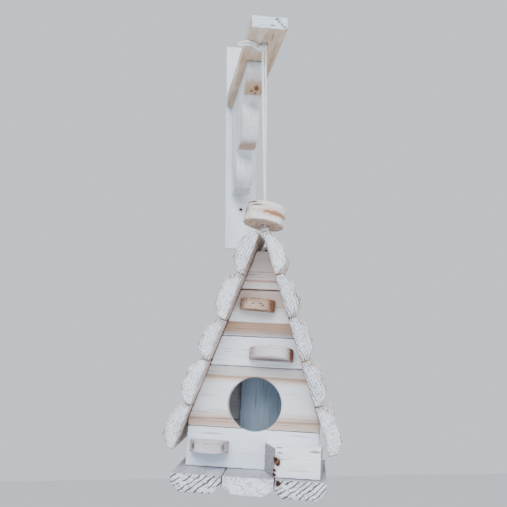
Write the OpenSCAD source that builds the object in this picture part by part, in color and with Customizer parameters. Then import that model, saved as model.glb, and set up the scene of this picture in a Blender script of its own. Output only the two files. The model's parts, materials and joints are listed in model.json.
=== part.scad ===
// Rustic A-frame birdhouse that hangs by a doubled cord from a wooden wall bracket.
// Millimetres. The wall is the plane y = 0, the front faces -Y and +Z is up. The origin is
// midway between the two wall screw holes, on the back face of the back plate.
// The house has a frame of its own, which hanging() places: its origin is the point of the
// ridge where the cord enters, with +X to the right, -Y to the front and +Z up its middle.

/* [Wall bracket] */
// Height of the back plate
plate_h = 326; // [290:1:400]
// Height of the back plate's middle above the middle of the wall screws
plate_rise = 3; // [0:0.5:8]
// Width of the back plate and of the arm
plate_w = 46; // [36:1:60]
// Thickness of the back plate
plate_t = 12; // [10:1:20]
// Diameter of the two wall screw holes
wall_hole_d = 4.5; // [3:0.5:7]
// Distance between the wall screw holes
wall_hole_pitch = 200; // [180:5:240]
// Reach of the arm in front of the back plate
arm_reach = 237; // [215:1:280]
// Thickness of the arm
arm_t = 17.5; // [12:0.5:22]
// Chamfer along the arm's lower right edge
arm_chamfer = 2.5; // [0.5:0.5:5]
// Height of the arm's underside above the wall screws' middle
arm_z = 63; // [50:0.5:75]
// Thickness of the scalloped brace
brace_t = 24; // [12:1:30]
// How far the brace stands to the left of the arm's middle
brace_left = 2.5; // [0:0.5:6]
// Reach of the brace along the arm
brace_reach = 155; // [120:1:165]
// Depth of the brace below the arm
brace_drop = 145; // [120:1:155]
// Radius of the brace's upper lobe
upper_lobe_r = 26; // [20:1:30]
// Radius of the brace's middle lobe
middle_lobe_r = 33; // [28:1:36]
// Radius of the brace's lower lobe
lower_lobe_r = 31; // [26:1:34]

/* [Cord and disc] */
// Diameter of one strand of the doubled cord
strand_d = 3; // [2:0.25:3.5]
// Distance from the wall to the cord
cord_out = 209; // [190:1:230]
// Height of the arm's underside above the ridge
hang_drop = 251.6; // [250:0.2:300]
// Diameter of the wooden disc above the ridge
disc_d = 50; // [36:1:60]
// Thickness of the wooden disc
disc_t = 24; // [14:1:28]
// Diameter of the disc's bore
disc_bore_d = 8; // [7.5:0.5:9]
// Diameter of the knot below the disc, wider than the disc's bore
disc_knot_d = 9.5; // [9:0.5:12]

/* [House] */
// Half of the angle between the two sides of the roof
roof_angle = 19.2; // [16:0.1:24]
// Width of a roof plank along the slope
roof_plank_w = 50.5; // [42:0.5:62]
// Thickness of a roof plank
roof_plank_t = 18.5; // [14:0.5:24]
// Length of the roof from front to back
roof_len = 98; // [86:1:130]
// How far the roof stands out in front of the foot of the front wall
front_overhang = 14; // [8:1:24]
// Height of the roof's lower end above the base
eave_gap = 21.5; // [12:0.5:30]
// How far the walls' foot stands in from the line of the roof on each side
wall_inset = 18.2; // [12:0.2:36]
// Thickness of the front wall's boards
wall_t = 15; // [10:1:18]
// Thickness of the back wall's boards
back_t = 12; // [10:1:18]
// Angle at which the front wall leans back
wall_rake = 5.2; // [0:0.1:6]
// Diameter of the entrance hole
entrance_d = 60; // [28:1:72]
// Height of the entrance hole's centre above the base
entrance_h = 70; // [50:1:84]
// Thickness of the base planks
base_t = 20; // [14:1:26]
// How far the base stands out beside the walls
base_margin = 9; // [6:1:20]
// How far the base stands out in front of the foot of the front wall
base_front = 38.7; // [34:0.1:50]
// Thickness of the side boards
side_t = 12; // [8:1:16]
// Width of the upright batten inside the back wall
batten_w = 55; // [40:1:70]
// Thickness of the upright batten
batten_t = 8; // [6:1:14]

/* [Hidden] */
$fn = 64;
eps = 0.01;
big = 600;

// How the house hangs in its stored pose: nodding forward, leaning and turned on its cord.
house_nod = 7.3;
house_lean = 3.3;
house_turn = -14.2;

// Saw gaps between neighbouring planks and boards.
board_gap = 0.3;
plank_gap = 0.5;

// Bracket.
arm_top = arm_z + arm_t;
arm_bore_r = 1.5 * strand_d;
lobe_shoulder = 10;
lower_lobe_out = 22;

// Cord: the strands part below the knot under the arm and close up, side by side, above
// the disc. Each point is an offset from the cord's middle and a drop below the pivot.
knot_drop = 5;
knot_r = 4.2;
pivot_drop = 12.5;
pivot_z = arm_z - pivot_drop;
neck_r = 2.6;
neck_clear = 3;
strand_route = [
    [1.9, 0, 3], [1.9, 0.2, 18], [1.9, 0.4, 33], [1.8, 0.6, 48], [1.7, 0.8, 63],
    [1.6, 0.9, 78], [1.5, 1.0, 93], [1.4, 1.1, 108], [1.2, 1.2, 123], [1.1, 1.3, 138],
    [0.9, 1.4, 153], [0.7, 1.5, 168], [0.5, 1.5, 183], [0.3, 1.6, 198], [0.2, 1.6, 226]
];
// The free bight at the arm: offsets from the cord's middle and from the arm's underside.
loop_route = [
    [-9.5, 0, -6.6], [-13, -4, -6.2], [-17, -7, -6], [-21, -8, -6], [-25, -7.4, -6.2],
    [-29, -6, -6.2], [-32, -4.6, -5.6], [-33.5, -4, -4.1], [-32, -4.8, -2.6], [-29, -6.2, -2.1],
    [-25, -7.8, -2.1], [-21, -8.6, -2.1], [-17, -7.6, -2.1], [-13, -4.6, -2.4], [-9.5, -0.8, -3]
];

// Ridge: where the cord enters the house.
ridge_z = arm_z - hang_drop;
ridge_pivot = 1;
ridge_bore_r = 4.5;
ridge_knot_r = 5.4;
ridge_knot_z = -17;
disc_knot_low = 4;
disc_knot_h = 7.5;
disc_rest = disc_knot_low + disc_knot_h;
disc_tilt = 10;

// House: the roof's planks, then what they stand on.
ROWS = 5;
ridge_start = 3;
row_pitch = roof_plank_w + plank_gap;
// How each row's plank, from the ridge down, differs from the named width.
LEFT_WIDTH = [1.01, 1.06, 0.95, 1.03, 1.03];
RIGHT_WIDTH = [0.98, 0.98, 0.98, 1, 1.07];
// How far across its plank each row is nailed.
NAIL_SHARE = [0.68, 0.62, 0.62, 0.62, 0.27];
roof_slope = ridge_start + ROWS * row_pitch - plank_gap;
house_h = roof_slope * cos(roof_angle) + eave_gap;
front_y = 46.6;
roof_front = front_y + front_overhang;
roof_back = roof_len - roof_front;
back_overhang = 10;
back_y = roof_back - back_overhang;
wall_h = house_h / cos(wall_rake);
roof_play = 0.2;
wall_top_drop = 20;
// Shares of the wall's height at which its boards meet, from the base up.
BOARD_SHARE = [0, 0.164, 0.421, 0.549, 0.752, 1];
wall_w = 2 * (house_h * tan(roof_angle) - wall_inset);
base_w = wall_w + 2 * base_margin;
base_plank_w = (base_w - 2 * plank_gap) / 3;
batten_x = 6.5;
batten_top = 105;

// Nails and screws: diameters of shank and head.
nail_d = 2;
nail_head_d = 4.4;
nail_len = 28;
screw_d = 3;
screw_head_d = 6.4;
screw_play = 0.1;

// A small irregularity, as hand-sawn timber has: the same one for the same number.
function uneven(n, size) = size * sin(137 * n);

// ---- Tubes, knots, nails and screws ----

// A ring of points around p, square to the direction d.
function ring(p, d, r, sides) =
    let (
        ahead = d / norm(d),
        aside = cross(ahead, abs(ahead.z) > 0.9 ? [1, 0, 0] : [0, 0, 1]),
        u = aside / norm(aside),
        v = cross(ahead, u)
    )
    [for (k = [0:sides - 1]) p + r * (cos(360 * k / sides) * u + sin(360 * k / sides) * v)];

// The direction of a route at its point i.
function along(route, i) =
    route[min(i + 1, len(route) - 1)] - route[max(i - 1, 0)];

// A tube swept along a route, closed at both ends.
module tube(route, d, sides = 8) {
    rings = [for (i = [0:len(route) - 1]) each ring(route[i], along(route, i), d / 2, sides)];
    last = len(route) - 1;
    polyhedron(
        points = rings,
        faces = concat(
            [[for (k = [0:sides - 1]) k]],
            [for (i = [0:last - 1], k = [0:sides - 1])
                let (n = (k + 1) % sides)
                [i * sides + n, i * sides + k, (i + 1) * sides + k, (i + 1) * sides + n]],
            [[for (k = [sides - 1:-1:0]) last * sides + k]]
        )
    );
}

// A barrel-shaped knot around the z axis, standing on z = 0.
module knot(r, h) {
    round_by = 0.3 * r;
    rotate_extrude()
        polygon([[0, 0], [r - round_by, 0], [r, round_by], [r, h - round_by],
                 [r - round_by, h], [0, h]]);
}

// A nail or screw along +Z from the outside of its head, which is flush with z = 0.
module fastener(shank_d, head_d, length, play = 0) {
    head_t = 0.3 * head_d;
    cylinder(d1 = head_d + play, d2 = shank_d + play, h = head_t);
    cylinder(d = shank_d + play, h = length + play);
}

// ---- Wall bracket ----

// Places a screw at each of the four points that hold the plate to the arm and brace.
module at_plate_screws() {
    arm_spread = plate_w / 4;
    for (p = [[-arm_spread, arm_z + arm_t / 2], [arm_spread, arm_z + arm_t / 2],
              [-brace_left, arm_z - 0.3 * brace_drop], [-brace_left, arm_z - 0.72 * brace_drop]])
        translate([p.x, 0, p.y]) rotate([90, 0, 0]) children();
}

// Places a screw at each of the two points that hold the arm down on the brace.
module at_brace_screws() {
    for (out = [0.35, 0.7])
        translate([-brace_left, -plate_t - out * brace_reach, arm_top])
            rotate([180, 0, 0]) children();
}

module plate_screw(play = 0) fastener(screw_d, screw_head_d, plate_t + 24, play);
module brace_screw(play = 0) fastener(screw_d, screw_head_d, arm_t + 20, play);

module back_plate() {
    color("#d9d5cf")
        difference() {
            translate([-plate_w / 2, -plate_t, plate_rise - plate_h / 2])
                cube([plate_w, plate_t, plate_h]);
            for (side = [-1, 1])
                translate([0, eps, side * wall_hole_pitch / 2])
                    rotate([90, 0, 0]) cylinder(d = wall_hole_d, h = plate_t + 2 * eps);
            at_plate_screws() plate_screw(screw_play);
        }
}

module arm() {
    color("#c9a68a")
        difference() {
            translate([0, -plate_t, 0]) rotate([90, 0, 0]) linear_extrude(arm_reach)
                polygon([[-plate_w / 2, arm_z], [plate_w / 2 - arm_chamfer, arm_z],
                         [plate_w / 2, arm_z + arm_chamfer], [plate_w / 2, arm_top],
                         [-plate_w / 2, arm_top]]);
            translate([0, -cord_out, arm_z - eps]) cylinder(r = arm_bore_r, h = arm_t + 2 * eps);
            at_plate_screws() plate_screw(screw_play);
            at_brace_screws() brace_screw(screw_play);
        }
}

// The brace's blank: x is the distance from the plate, y the height under the arm and z its
// thickness. Three round lobes stand out of a straight-edged core.
module brace_blank() {
    upper = [brace_reach - upper_lobe_r, -lobe_shoulder];
    lower = [lower_lobe_out, lower_lobe_r - brace_drop];
    middle = (upper + lower) / 2;
    linear_extrude(brace_t)
        polygon([[0, 0], [upper.x, 0], upper, middle, lower, [0, lower.y]]);
    translate(upper) cylinder(r = upper_lobe_r, h = brace_t);
    translate(middle) cylinder(r = middle_lobe_r, h = brace_t);
    translate(lower) cylinder(r = lower_lobe_r, h = brace_t);
}

module brace() {
    color("#cdbfb2")
        difference() {
            translate([brace_t / 2 - brace_left, -plate_t, arm_z]) rotate([90, 0, -90])
                brace_blank();
            translate([-big / 2, -plate_t, -big / 2]) cube(big);
            translate([-big / 2, -big, arm_z]) cube(big);
            at_plate_screws() plate_screw(screw_play);
            at_brace_screws() brace_screw(screw_play);
        }
}

module plate_screws() {
    color("silver") at_plate_screws() plate_screw();
}

module brace_screws() {
    color("silver") at_brace_screws() brace_screw();
}

// ---- Cord, knots and disc ----

module at_cord() {
    translate([0, -cord_out, 0]) children();
}

module arm_top_knot() {
    color("#f2efe8") at_cord() translate([0, 0, arm_top]) knot(2 * strand_d, 8);
}

module arm_cord() {
    spread = strand_d / 2 + 0.1;
    low = arm_z - knot_drop + knot_r + 0.1;
    color("#f2efe8") at_cord()
        for (side = [-1, 1])
            translate([side * spread, 0, low]) cylinder(d = strand_d, h = arm_top - low);
}

module arm_knot() {
    wraps = 13;
    color("#f2efe8") at_cord()
        translate([-9.5, 0, arm_z - knot_drop]) rotate([0, 90, 0]) knot(knot_r, wraps);
}

module cord_loop() {
    color("#f2efe8") at_cord() translate([0, 0, arm_z]) tube(loop_route, strand_d);
}

module cord_neck() {
    color("#f2efe8") at_cord() translate([0, 0, pivot_z]) sphere(neck_r);
}

// One strand, from the neck down to the knot below the disc.
module cord_strand(side) {
    stretch = (pivot_z - ridge_z - disc_rest) / strand_route[len(strand_route) - 1].z;
    spread = strand_d / 3;
    route = [for (p = strand_route)
        [side * p.x * spread, side * p.y * spread, pivot_z - p.z * stretch]];
    color("#f2efe8") at_cord() tube(route, strand_d);
}

module disc_knot() {
    color("#f2efe8") at_cord()
        translate([0, 0, ridge_z + disc_knot_low]) knot(disc_knot_d / 2, disc_knot_h - 0.1);
}

// A slice of branch, bored a little off square, so that it hangs tilted on the upright cord.
module disc() {
    lift = disc_t / 2 / cos(disc_tilt) + disc_knot_d / 2 * tan(disc_tilt) + 0.3;
    color("#cdb9a4") at_cord()
        translate([0, 0, ridge_z + disc_rest + lift])
            difference() {
                rotate([0, disc_tilt, 0]) cylinder(d = disc_d, h = disc_t, center = true);
                cylinder(d = disc_bore_d, h = 2 * disc_t, center = true);
            }
}

module ridge_cord() {
    top = disc_knot_low - 0.3;
    color("#f2efe8") at_cord() translate([0, 0, ridge_z + ridge_pivot]) {
        sphere(neck_r);
        cylinder(r = neck_r - 0.2, h = top - ridge_pivot);
    }
}

module ridge_knot() {
    low = ridge_knot_z;
    high = ridge_pivot - neck_clear;
    color("#f2efe8") hanging() {
        translate([0, 0, low]) sphere(ridge_knot_r);
        translate([0, 0, low]) cylinder(r = neck_r, h = high - low);
    }
}

// ---- House: frames of reference ----

module hanging() {
    translate([0, -cord_out, ridge_z]) rotate([house_nod, house_lean, house_turn]) children();
}

// Frame of the raked front wall: its outer face is y = 0 and its foot z = 0.
module raked() {
    translate([0, -front_y, -house_h]) rotate([-wall_rake, 0, 0]) children();
}

// The house's outline between the roof's planks, seen from the front, as a long prism.
module wall_prism() {
    half = wall_w / 2;
    right = [[half, -house_h], [half, -half / tan(roof_angle) - roof_play],
             [wall_top_drop * tan(roof_angle), -wall_top_drop - roof_play]];
    left = [for (i = [len(right) - 1:-1:0]) [-right[i].x, right[i].y]];
    translate([0, big / 2, 0]) rotate([90, 0, 0]) linear_extrude(big)
        polygon(concat(right, left));
}

// Keeps what lies behind the front wall's inner face.
module behind_front_wall() {
    intersection() {
        children();
        raked() translate([-big / 2, wall_t, -big / 2]) cube(big);
    }
}

// Keeps what lies in front of the front wall's outer face.
module before_front_wall() {
    intersection() {
        children();
        raked() translate([-big / 2, -big, -big / 2]) cube(big);
    }
}

// ---- Roof ----

// The width of the plank in row i of the left (-1) or the right (1) side of the roof.
function plank_w(side, i) = roof_plank_w * (side > 0 ? RIGHT_WIDTH[i - 1] : LEFT_WIDTH[i - 1]);

// Where plank row i starts, down the slope from the ridge.
function row_start(side, i) =
    i == 1 ? ridge_start : row_start(side, i - 1) + plank_w(side, i - 1) + plank_gap;

// The outer corners are planed off. No two planks are quite alike.
module plank_profile(w, t, n) {
    bevel_w = 0.24 * w + uneven(n, 1.2);
    bevel_t = 0.52 * t + uneven(n + 3, 0.8);
    polygon([[0, 0], [w, 0], [w, t - bevel_t], [w - bevel_w, t], [bevel_w, t],
             [0, t - bevel_t]]);
}

// Turns a profile's x down the right slope of the roof and its y outward.
module down_slope(s) {
    rotate([90, 0, 0]) rotate(roof_angle - 90) translate([s, 0]) children();
}

// How far down the slope row i is nailed.
function nail_row(side, i) = row_start(side, i) + NAIL_SHARE[i - 1] * plank_w(side, i);

// Places a nail in plank row i on the right slope, into the front or the back wall. Those of
// the left slope are placed here too, and mirrored.
module at_roof_nail(side, i, y) {
    translate([0, y, 0]) rotate([0, -roof_angle, 0])
        translate([roof_plank_t, 0, -nail_row(side, i)]) rotate([0, -90, 0]) children();
}

// The middle of the front wall's thickness beside row i.
function front_nail_y(side, i) =
    -front_y + (house_h - nail_row(side, i) * cos(roof_angle)) * tan(wall_rake) + wall_t / 2;

module roof_nail(play = 0) fastener(nail_d, nail_head_d, nail_len, play);

module side_roof_nails(side, play = 0) {
    mirror([side > 0 ? 0 : 1, 0, 0])
        for (i = [1:ROWS]) {
            at_roof_nail(side, i, front_nail_y(side, i)) roof_nail(play);
            at_roof_nail(side, i, back_y - back_t / 2) roof_nail(play);
        }
}

module both_roof_nails(play = 0) {
    side_roof_nails(1, play);
    side_roof_nails(-1, play);
}

module roof_plank(side, i) {
    n = i + (side > 0 ? 10 : 0);
    shift = uneven(n + 5, 1.2);
    color(i % 2 == 0 ? "#d8d4cd" : "#cfc6bb") hanging()
        difference() {
            mirror([side > 0 ? 0 : 1, 0, 0])
                translate([0, roof_back - abs(shift), 0])
                    down_slope(0)
                        translate([0, 0, max(shift, 0)])
                            linear_extrude(roof_len - 2 * abs(shift))
                                translate([row_start(side, i), 0])
                                    plank_profile(plank_w(side, i), roof_plank_t, n);
            translate([0, 0, -big / 2]) cylinder(r = ridge_bore_r, h = big);
            both_roof_nails(screw_play);
        }
}

module roof_nails(side) {
    color("#8d8780") hanging() side_roof_nails(side);
}

// ---- Walls ----

// The part of a wall between two heights above its foot.
module board_slab(i, thickness) {
    low = BOARD_SHARE[i - 1] * wall_h;
    high = BOARD_SHARE[i] * wall_h;
    foot = i == 1 ? 5 : 0;
    translate([-big / 2, 0, low - foot])
        cube([big, thickness, high - low + foot - board_gap]);
}

module front_board(i) {
    color(i == 1 || i == 3 ? "#efedea" : "#dcc7b3") hanging()
        difference() {
            intersection() {
                raked() board_slab(i, wall_t);
                wall_prism();
            }
            raked() translate([0, -eps, entrance_h / cos(wall_rake)]) rotate([-90, 0, 0])
                cylinder(d = entrance_d, h = wall_t + 2 * eps);
            both_roof_nails(screw_play);
            at_base_nails() base_nail(screw_play);
            at_shelf_screws() shelf_screw(screw_play);
        }
}

module back_board(i) {
    color("#cdb69f") hanging()
        difference() {
            intersection() {
                translate([0, back_y - back_t, -house_h]) board_slab(i, back_t);
                wall_prism();
            }
            both_roof_nails(screw_play);
            at_base_nails() base_nail(screw_play);
            at_batten_nails() batten_nail(screw_play);
        }
}

module side_board(side) {
    outer = wall_w / 2;
    color("#d8cdc2") hanging()
        difference() {
            behind_front_wall()
                intersection() {
                    translate([side > 0 ? outer - side_t : -outer, -front_y, -house_h])
                        cube([side_t, back_y - back_t + front_y, house_h]);
                    wall_prism();
                }
            at_base_nails() base_nail(screw_play);
        }
}

module inner_batten() {
    color("#8fa0ad") hanging()
        difference() {
            translate([batten_x - batten_w / 2, back_y - back_t - batten_t, -house_h])
                cube([batten_w, batten_t, house_h - batten_top]);
            at_batten_nails() batten_nail(screw_play);
        }
}

// Places a nail, from behind, in each of the lower back boards and into the batten.
module at_batten_nails() {
    for (i = [1:3])
        translate([batten_x, back_y,
                   -house_h + (BOARD_SHARE[i - 1] + BOARD_SHARE[i]) / 2 * wall_h])
            rotate([90, 0, 0]) children();
}

module batten_nail(play = 0) fastener(nail_d, nail_head_d, back_t + 0.6 * batten_t, play);

module batten_nails() {
    color("#8d8780") hanging() at_batten_nails() batten_nail();
}

// ---- Base ----

// A base plank, seen from the front, with its lower corners planed off.
module base_plank(k) {
    bevel_w = 10 + uneven(k + 20, 1.5);
    bevel_t = 8 + uneven(k + 23, 1.5);
    left = -base_w / 2 + (k - 1) * (base_plank_w + plank_gap);
    color("#d3cbc4") hanging()
        difference() {
            translate([left, roof_back, -house_h - base_t]) rotate([90, 0, 0])
                linear_extrude(roof_back + front_y + base_front)
                    polygon([[bevel_w, 0], [base_plank_w - bevel_w, 0], [base_plank_w, bevel_t],
                             [base_plank_w, base_t], [0, base_t], [0, bevel_t]]);
            at_base_nails() base_nail(screw_play);
            at_block_screws() block_screw(screw_play);
        }
}

// Places a nail, from below, under each wall and each side board.
module at_base_nails() {
    front = -front_y + wall_t / 2 + 1;
    back = back_y - back_t / 2;
    wall_x = base_plank_w + plank_gap;
    side_x = wall_w / 2 - side_t / 2;
    for (p = [[-wall_x, front], [0, front], [wall_x, front],
              [-wall_x, back], [0, back], [wall_x, back],
              [-side_x, 0], [side_x, 0]])
        translate([p.x, p.y, -house_h - base_t]) children();
}

module base_nail(play = 0) fastener(nail_d, nail_head_d, base_t + 18, play);

module base_nails() {
    color("#8d8780") hanging() at_base_nails() base_nail();
}

// ---- Half-round shelves and the porch block ----

// A half-round slice: depth d in the middle, and ends that are end_d deep.
module slice(w, d, end_d, t) {
    r = (w * w / 4 + pow(d - end_d, 2)) / (2 * (d - end_d));
    linear_extrude(t)
        intersection() {
            translate([0, r - d]) circle(r, $fn = 96);
            translate([-w / 2, -d]) square([w, d + 20]);
        }
}

// Width, depth, end depth, thickness, place across, height, roll and upward tilt.
SHELVES = [
    [40, 17, 7, 13.5, -2.6, 0.657 * wall_h, 2.5, 3],
    [50, 25, 9, 13.5, 16, 0.446 * wall_h, 0.5, 12],
    [43, 22, 8, 14, -47.5, 0.06 * wall_h, 0, 0]
];

module shelf(k) {
    s = SHELVES[k];
    color(k == 0 ? "#b98a66" : "#cfc3ba") hanging()
        difference() {
            before_front_wall()
                raked() translate([s[4], 0, s[5]]) rotate([-s[7], s[6], 0])
                    slice(s[0], s[1], s[2], s[3]);
            at_shelf_screws() shelf_screw(screw_play);
        }
}

// Screws from inside the house: one for each shelf.
module at_shelf_screws() {
    for (s = SHELVES)
        raked() translate([s[4], wall_t, s[5] + s[3] / 2]) rotate([90, 0, 0]) children();
}

module shelf_screw(play = 0) fastener(screw_d - 0.6, screw_head_d - 1.4, wall_t + 9, play);

BLOCK_H = 31;
BLOCK_LEFT = 14;
BLOCK_RIGHT = 78;

module porch_block() {
    depth = 32;
    color("#e4e2df") hanging()
        difference() {
            before_front_wall()
                translate([0, 0, -house_h]) linear_extrude(BLOCK_H)
                    polygon([[BLOCK_LEFT, -front_y + 10], [BLOCK_LEFT, -front_y],
                             [BLOCK_LEFT + 13, -front_y - depth],
                             [BLOCK_RIGHT - 2, -front_y - depth + 1],
                             [BLOCK_RIGHT, -front_y], [BLOCK_RIGHT, -front_y + 10]]);
            at_block_screws() block_screw(screw_play);
        }
}

// Screws from below: two through the base into the porch block.
module at_block_screws() {
    for (x = [BLOCK_LEFT + 20, BLOCK_RIGHT - 14])
        translate([x, -front_y - 15, -house_h - base_t]) children();
}

module block_screw(play = 0) fastener(screw_d - 0.6, screw_head_d - 1.4, base_t + 20, play);

module shelf_screws() {
    color("silver") hanging() {
        at_shelf_screws() shelf_screw();
        at_block_screws() block_screw();
    }
}

// ---- Assembly ----

back_plate();
arm();
brace();
plate_screws();
brace_screws();
arm_top_knot();
arm_cord();
arm_knot();
cord_loop();
cord_neck();
cord_strand(1);  // cord_strand_1
cord_strand(-1);  // cord_strand_2
disc_knot();
disc();
ridge_cord();
ridge_knot();
base_plank(1);  // base_plank_left
base_plank(2);  // base_plank_middle
base_plank(3);  // base_plank_right
side_board(-1);  // side_board_left
side_board(1);  // side_board_right
inner_batten();
for (i = [1:ROWS]) {
    roof_plank(-1, i);
    roof_plank(1, i);
    front_board(i);
    back_board(i);
}
shelf(0);  // upper_shelf
shelf(1);  // middle_shelf
shelf(2);  // lower_shelf
porch_block();
roof_nails(-1);  // roof_nails_left
roof_nails(1);  // roof_nails_right
base_nails();
batten_nails();
shelf_screws();
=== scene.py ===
import json
import math

import bpy
import numpy as np
from mathutils import Euler, Matrix, Vector, noise


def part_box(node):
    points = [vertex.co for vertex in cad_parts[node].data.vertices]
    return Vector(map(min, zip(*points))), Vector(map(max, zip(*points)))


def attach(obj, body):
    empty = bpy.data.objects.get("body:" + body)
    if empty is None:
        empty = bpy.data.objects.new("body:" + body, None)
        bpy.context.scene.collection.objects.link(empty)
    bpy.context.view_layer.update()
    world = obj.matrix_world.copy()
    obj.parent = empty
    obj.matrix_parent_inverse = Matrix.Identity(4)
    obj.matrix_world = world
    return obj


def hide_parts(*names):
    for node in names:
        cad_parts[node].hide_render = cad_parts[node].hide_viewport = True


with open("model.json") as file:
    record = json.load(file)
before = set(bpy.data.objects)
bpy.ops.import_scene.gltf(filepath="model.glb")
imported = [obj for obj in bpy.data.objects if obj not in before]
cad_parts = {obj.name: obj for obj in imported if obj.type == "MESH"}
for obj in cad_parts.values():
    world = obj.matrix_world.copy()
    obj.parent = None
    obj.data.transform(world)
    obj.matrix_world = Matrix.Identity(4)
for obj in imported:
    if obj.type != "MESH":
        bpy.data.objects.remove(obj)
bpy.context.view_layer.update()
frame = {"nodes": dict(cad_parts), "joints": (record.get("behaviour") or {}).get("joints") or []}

# ---- Camera ----
# An eye-level view from a little to the left, looking up at the bracket from in front of the
# house.

lens_mm = 50.0
camera_data = bpy.data.cameras.new("camera")
camera_data.lens = lens_mm
camera_data.sensor_width = 36.0
camera_data.dof.use_dof = False
camera = bpy.data.objects.new("camera", camera_data)
bpy.context.collection.objects.link(camera)
camera.location = (-0.1507, -1.0166, -0.3907)
camera.rotation_euler = Euler((math.radians(90 + 12.412), 0, math.radians(-9.608)))
bpy.context.scene.camera = camera

# ---- Cotton cord ----
# A thin white cotton cord of three plies laid round each other. Each ply is a soft twisted
# tube, and the whole is doubled from the bracket's arm down to the house.

arm_low, arm_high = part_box("arm")
CORD = 0.003
MM = 0.001
joints = {joint["name"]: joint for joint in frame["joints"]}
pivot = Vector(joints["swing_side"]["pos_m"])
ridge = Vector(joints["house_twist"]["pos_m"])


def colour(code):
    """A linear colour from a six-digit code."""
    parts = [int(code[k:k + 2], 16) / 255 for k in (0, 2, 4)]
    linear = [c / 12.92 if c <= 0.04045 else ((c + 0.055) / 1.055) ** 2.4 for c in parts]
    return (*linear, 1.0)


def add(tree, kind, inputs=None, **settings):
    """A shader node with its settings made and its inputs given a value or a link."""
    made = tree.nodes.new(kind)
    for name, value in settings.items():
        setattr(made, name, value)
    for name, value in (inputs or {}).items():
        socket = made.inputs[name]
        if isinstance(value, bpy.types.NodeSocket):
            tree.links.new(value, socket)
        else:
            socket.default_value = value
    return made


def calc(tree, operation, a, b=0.0, c=0.0, clamp=False):
    """The result of one maths operation on values or sockets."""
    made = add(tree, "ShaderNodeMath", {0: a, 1: b, 2: c}, operation=operation, use_clamp=clamp)
    return made.outputs[0]


def ramp(tree, value, stops, interpolation="LINEAR"):
    """A colour ramp over a value from (place, colour code) stops."""
    made = add(tree, "ShaderNodeValToRGB", {0: value})
    made.color_ramp.interpolation = interpolation
    bar = made.color_ramp.elements
    while len(bar) < len(stops):
        bar.new(0.5)
    for element, (place, code) in zip(bar, stops):
        element.position = place
        element.color = colour(code)
    return made.outputs[0]


def fade(tree, value, low, high):
    """0 at low, 1 at high and smooth between."""
    made = add(tree, "ShaderNodeMapRange", {0: value, 1: low, 2: high}, interpolation_type="SMOOTHSTEP")
    return made.outputs[0]


def blend_colours(tree, share, a, b, kind="MIX"):
    """Colour b over colour a by share."""
    made = add(tree, "ShaderNodeMix", {0: share, 6: a, 7: b}, data_type="RGBA", blend_type=kind)
    return made.outputs[2]


def new_material(name):
    """An empty material and its tree, with a Principled shader on its output."""
    made = bpy.data.materials.new(name)
    made.use_nodes = True
    tree = made.node_tree
    tree.nodes.clear()
    shader = tree.nodes.new("ShaderNodeBsdfPrincipled")
    output = tree.nodes.new("ShaderNodeOutputMaterial")
    tree.links.new(shader.outputs[0], output.inputs[0])
    return made, tree, shader


cotton, tree, shader = new_material("cotton")
place = add(tree, "ShaderNodeTexCoord").outputs["Object"]
ply = add(tree, "ShaderNodeAttribute", attribute_name="ply")
along_ply = add(tree, "ShaderNodeSeparateXYZ", {0: ply.outputs["Vector"]})
yarn = calc(tree, "SINE", calc(tree, "MULTIPLY", calc(
    tree, "ADD", along_ply.outputs[0], along_ply.outputs[1]), 6.28318))
fuzz = add(tree, "ShaderNodeTexNoise", {"Vector": place, "Scale": 900.0, "Detail": 4.0}).outputs[0]
soil = add(tree, "ShaderNodeTexNoise", {"Vector": place, "Scale": 60.0, "Detail": 3.0}).outputs[0]
body = ramp(tree, soil, [(0.3, "e2e5e8"), (0.55, "f3f6f8"), (0.8, "fbfdff")])
shade = fade(tree, calc(tree, "ADD", calc(tree, "MULTIPLY", yarn, 0.25), fuzz), 0.05, 0.75)
tree.links.new(blend_colours(tree, shade, colour("c2c8cc"), body), shader.inputs["Base Color"])
shader.inputs["Roughness"].default_value = 0.92
shader.inputs["Sheen Weight"].default_value = 0.25
height = calc(tree, "ADD", calc(tree, "MULTIPLY", yarn, 0.4), fuzz)
bump = add(tree, "ShaderNodeBump", {"Height": height, "Strength": 0.35, "Distance": 0.0003})
tree.links.new(bump.outputs[0], shader.inputs["Normal"])


def smooth_line(points, step):
    """Points evenly spaced on a smooth curve through the given ones."""
    given = [Vector(p) for p in points]
    ends = [2 * given[0] - given[1], *given, 2 * given[-1] - given[-2]]
    fine = []
    for i in range(1, len(ends) - 2):
        a, b, c, d = ends[i - 1:i + 3]
        for k in range(12):
            t = k / 12
            fine.append(0.5 * (2 * b + (c - a) * t + (2 * a - 5 * b + 4 * c - d) * t ** 2
                               + (3 * b - 3 * c + d - a) * t ** 3))
    fine.append(given[-1])
    reach = [0.0]
    for a, b in zip(fine, fine[1:]):
        reach.append(reach[-1] + (b - a).length)
    count = max(2, round(reach[-1] / step))
    spots = np.linspace(0, reach[-1], count + 1)
    line = np.array([[p[k] for p in fine] for k in range(3)])
    return [Vector([np.interp(s, reach, line[k]) for k in range(3)]) for s in spots], reach[-1]


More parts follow.
